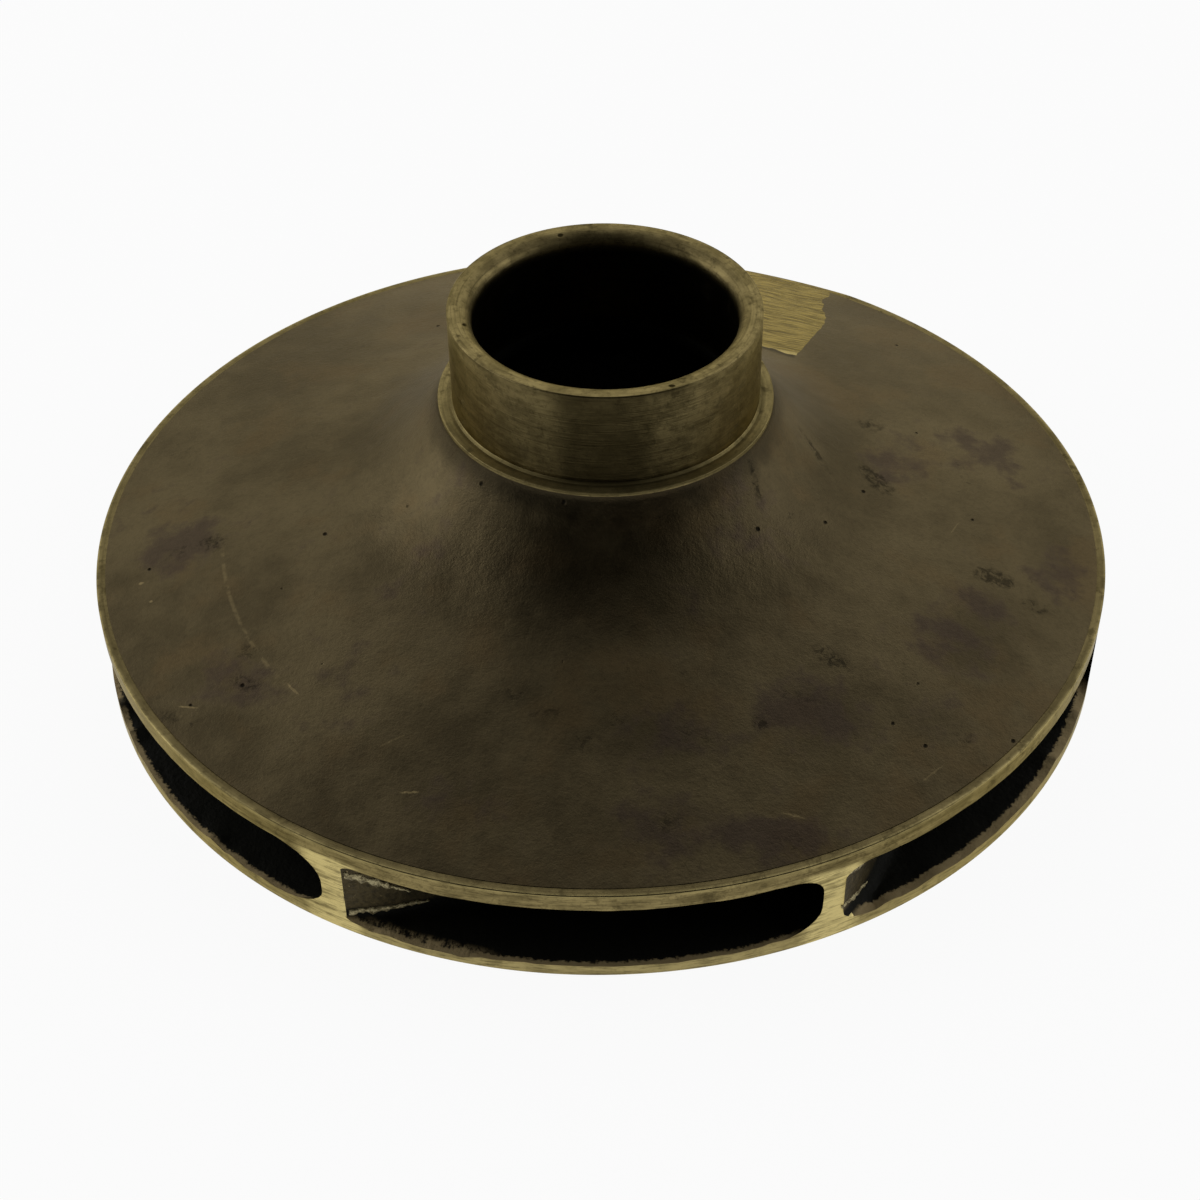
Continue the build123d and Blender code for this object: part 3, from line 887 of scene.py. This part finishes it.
def sortZones(made):  # 0 cast skin, 1 turned, 2 ground, 3 inside of the casting
    mesh = made.data
    count = len(mesh.polygons)
    centre = np.empty(count * 3)
    normal = np.empty(count * 3)
    mesh.polygons.foreach_get("center", centre)
    mesh.polygons.foreach_get("normal", normal)
    centre = centre.reshape(-1, 3) / mm
    normal = normal.reshape(-1, 3)
    f = form
    b = balance
    q = zones
    radius = np.hypot(centre[:, 0], centre[:, 1])
    height = centre[:, 2]
    outwardness = (centre[:, 0] * normal[:, 0] + centre[:, 1] * normal[:, 1]) / radius
    outside = (height > coneHeight(radius) - q["skinDepth"]) & (height > q["skinFrom"])
    outside &= (radius > f["shoulderRadius"] - q["slack"]) & (normal[:, 2] > q["skinFacing"])
    turnedFace = (radius > f["outerRadius"] - q["rimSlack"]) & (outwardness > q["rimFacing"])
    turnedFace |= (height > f["rimHeight"] - 4 * q["slack"]) & (radius > castRadius - q["slack"])
    turnedFace |= height < f["rimBevel"] + q["slack"]
    turnedFace |= height > f["shoulderHeight"] - f["shoulderDepth"] + q["flatSlack"]
    turnedFace |= radius < f["boreRadius"] + q["boreSlack"]
    turnedFace |= (height > f["hubHeight"] - q["slack"]) & (radius < f["noseRadius"])
    turn = math.radians(b["angle"])
    along = centre[:, 0] * math.cos(turn) + centre[:, 1] * math.sin(turn)
    across = centre[:, 1] * math.cos(turn) - centre[:, 0] * math.sin(turn)
    low = coneHeight(b["start"]) - b["cutAtStart"]
    fall = (low - f["rimHeight"] + b["cutAtRim"]) / (f["outerRadius"] - b["start"])
    slope = np.array((fall * math.cos(turn), fall * math.sin(turn), 1)) / math.hypot(fall, 1)
    flat = np.abs(height - (low - (along - b["start"]) * fall)) < q["flatSlack"]
    flat &= (np.abs(across) < b["width"] / 2 + q["flatEdge"]) & (along > b["start"] - q["flatEnd"])
    flat &= normal @ slope > q["flatFacing"]
    zone = np.full(count, 3)
    zone[outside] = 0
    zone[turnedFace] = 1
    zone[flat] = 2
    mesh.polygons.foreach_set("material_index", zone.astype(np.int32))
    mesh.shade_smooth()
    mesh.set_sharp_from_angle(angle=math.radians(q["sharpAngle"]))
    mesh.update()
    print("zones", [int((zone == i).sum()) for i in range(4)])


sortZones(casting)
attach(casting, "root")
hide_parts("impeller")

flashRidges = outwards(makeRidges())
flashRidges.data.materials.append(makeFlash())
flashRidges.data.shade_smooth()
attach(flashRidges, "root")
print("ridges made", len(flashRidges.data.polygons))

# the camera stands in front and above, with its own small turns off the axis
view = dict(
    distance=392.3, elevation=40.896, pitch=-0.127, yaw=3.559, roll=-0.580,
    lens=63.402, sensor=36, shiftX=-0.11667, clipStart=0.01,
)


def makeCamera():
    v = view
    rise = math.radians(v["elevation"])
    place = Vector((0, -v["distance"] * math.cos(rise), v["distance"] * math.sin(rise)))
    forward = -place.normalized()
    right = Vector((1, 0, 0))
    up = right.cross(forward)
    yaw = math.tan(math.radians(v["yaw"]))
    pitch = math.tan(math.radians(v["pitch"]))
    forward = (forward + right * yaw + up * pitch).normalized()
    right = forward.cross(up).normalized()
    up = right.cross(forward)
    roll = math.radians(v["roll"])
    turnedRight = right * math.cos(roll) + up * math.sin(roll)
    turnedUp = up * math.cos(roll) - right * math.sin(roll)
    matrix = Matrix((turnedRight, turnedUp, -forward)).transposed().to_4x4()
    matrix.translation = place * mm
    data = bpy.data.cameras.new("camera")
    data.lens = v["lens"]
    data.sensor_width = v["sensor"]
    data.shift_x = v["shiftX"]
    data.clip_start = v["clipStart"]
    made = bpy.data.objects.new("camera", data)
    made.matrix_world = matrix
    scene.collection.objects.link(made)
    scene.camera = made


makeCamera()

studio = dict(
    floorColour=(0.86, 0.86, 0.86, 1), floorWhite=0.94, floorHalf=3.0, floorHeight=-0.02,
    worldLow=0.02, worldBack=0.95, worldSides=0.8, horizon=0.5, zenithLoss=0.5, aim=(0, 0, 0.02),
    lamps=[  # name, place, size, power, aimed at the object
        ("leftLamp", (-0.75, 0.15, 0.35), 0.6, 1.2),
        ("rightLamp", (0.80, 0.10, 0.32), 0.6, 0.9),
        ("backLamp", (0.05, 0.85, 0.40), 0.9, 0.8),
    ],
)


def whiteRays(g):  # 1 for the rays that meet the background: camera, glossy and transmission
    kinds = [g.node("ShaderNodeLightPath", {}, {}, out=i) for i in (0, 3, 6)]
    return g.maths("MAXIMUM", kinds[0], g.maths("MAXIMUM", kinds[1], kinds[2]))


def makeFloor():
    half = studio["floorHalf"] / mm
    ends = [(-half, -half), (half, -half), (half, half), (-half, half)]
    corners = [(x, y, studio["floorHeight"]) for x, y in ends]
    floor = meshObject("floor", corners, [(0, 1, 2, 3)])
    material, g = newMaterial("paleFloor")
    diffuse = g.node("ShaderNodeBsdfDiffuse", {}, {"Color": studio["floorColour"]})
    white = g.node("ShaderNodeEmission", {}, {"Color": (1, 1, 1, 1), "Strength": 1.0})
    share = whiteRays(g) * studio["floorWhite"]
    mixed = g.node("ShaderNodeMixShader", {}, {0: share, 1: diffuse, 2: white})
    g.node("ShaderNodeOutputMaterial", {}, {"Surface": mixed})
    floor.data.materials.append(material)


def makeWorld():
    t = studio
    world = bpy.data.worlds.new("studio")
    world.use_nodes = True
    scene.world = world
    g = Graph(world.node_tree)
    camera = g.node("ShaderNodeLightPath", {}, {})
    direction = g.node("ShaderNodeTexCoord", {}, {}, out=0)
    x, y, z = g.parts(direction)
    back = g.smooth(y, -0.45, 0.75)
    sides = g.smooth(abs(x), 0.35, 0.95) * g.smooth(y, -0.8, 0.1)
    around = g.maths("MAXIMUM", back, sides * t["worldSides"])
    low = t["horizon"] + (1 - t["horizon"]) * g.smooth(z, 0.05, 0.5)
    high = 1 - g.smooth(z, 0.55, 1.0) * t["zenithLoss"]
    level = g.maths("MAXIMUM", camera, t["worldLow"] + t["worldBack"] * around * (low * high))
    lit = g.node("ShaderNodeBackground", {}, {"Color": (1, 1, 1, 1), "Strength": level})
    g.node("ShaderNodeOutputWorld", {}, {"Surface": lit})


def makeLamps():
    for name, place, size, power in studio["lamps"]:
        data = bpy.data.lights.new(name, "AREA")
        data.shape = "DISK"
        data.size = size
        data.energy = power
        made = bpy.data.objects.new(name, data)
        made.location = place
        towards = Vector(studio["aim"]) - Vector(place)
        made.rotation_euler = towards.to_track_quat("-Z", "Y").to_euler()
        scene.collection.objects.link(made)


makeFloor()
makeWorld()
makeLamps()
scene.view_settings.view_transform = "Standard"
print("studio made")
